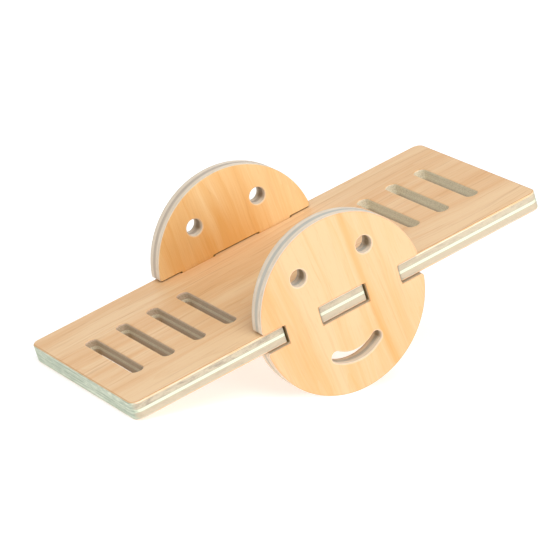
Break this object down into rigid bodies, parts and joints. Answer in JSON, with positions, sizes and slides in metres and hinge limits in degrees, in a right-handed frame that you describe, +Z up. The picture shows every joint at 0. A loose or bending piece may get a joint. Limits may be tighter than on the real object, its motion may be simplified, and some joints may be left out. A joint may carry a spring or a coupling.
{
  "type": "small pet seesaw",
  "caption": "Plywood seesaw for a small pet: a slotted board carried between round smiling discs that rock on the floor.",
  "frame": {"origin": "on the floor, midway between the places where the two discs' rims touch it, with the seesaw tipped onto its left end", "axes": "+Z up, +X level towards the raised end of the board, +Y from the front disc to the back disc; the board climbs by 20.5 degrees towards +X"},
  "size_m": [0.1902, 0.096, 0.0775],
  "materials": {
    "board_face_veneer": "sanded, raw",
    "disc_face_veneer": "sanded, raw",
    "cross_veneer": "cut edge, raw",
    "core_veneer": "cut edge, raw"
  },
  "bodies": {
    "board": {"board_top_ply": "board_face_veneer", "board_upper_cross_ply": "cross_veneer", "board_core_ply": "core_veneer", "board_lower_cross_ply": "cross_veneer", "board_bottom_ply": "board_face_veneer"},
    "front_disc": {"front_disc_outer_ply": "disc_face_veneer", "front_disc_outer_cross_ply": "cross_veneer", "front_disc_core_ply": "core_veneer", "front_disc_inner_cross_ply": "cross_veneer", "front_disc_inner_ply": "disc_face_veneer"},
    "back_disc": {"back_disc_outer_ply": "disc_face_veneer", "back_disc_outer_cross_ply": "cross_veneer", "back_disc_core_ply": "core_veneer", "back_disc_inner_cross_ply": "cross_veneer", "back_disc_inner_ply": "disc_face_veneer"}
  },
  "joints": [
    {"name": "front_disc_pull", "type": "slide", "parent": "board", "child": "front_disc", "axis": [0, -1, 0], "range_m": [0, 0.0065]},
    {"name": "back_disc_pull", "type": "slide", "parent": "board", "child": "back_disc", "axis": [0, 1, 0], "range_m": [0, 0.0065]}
  ]
}
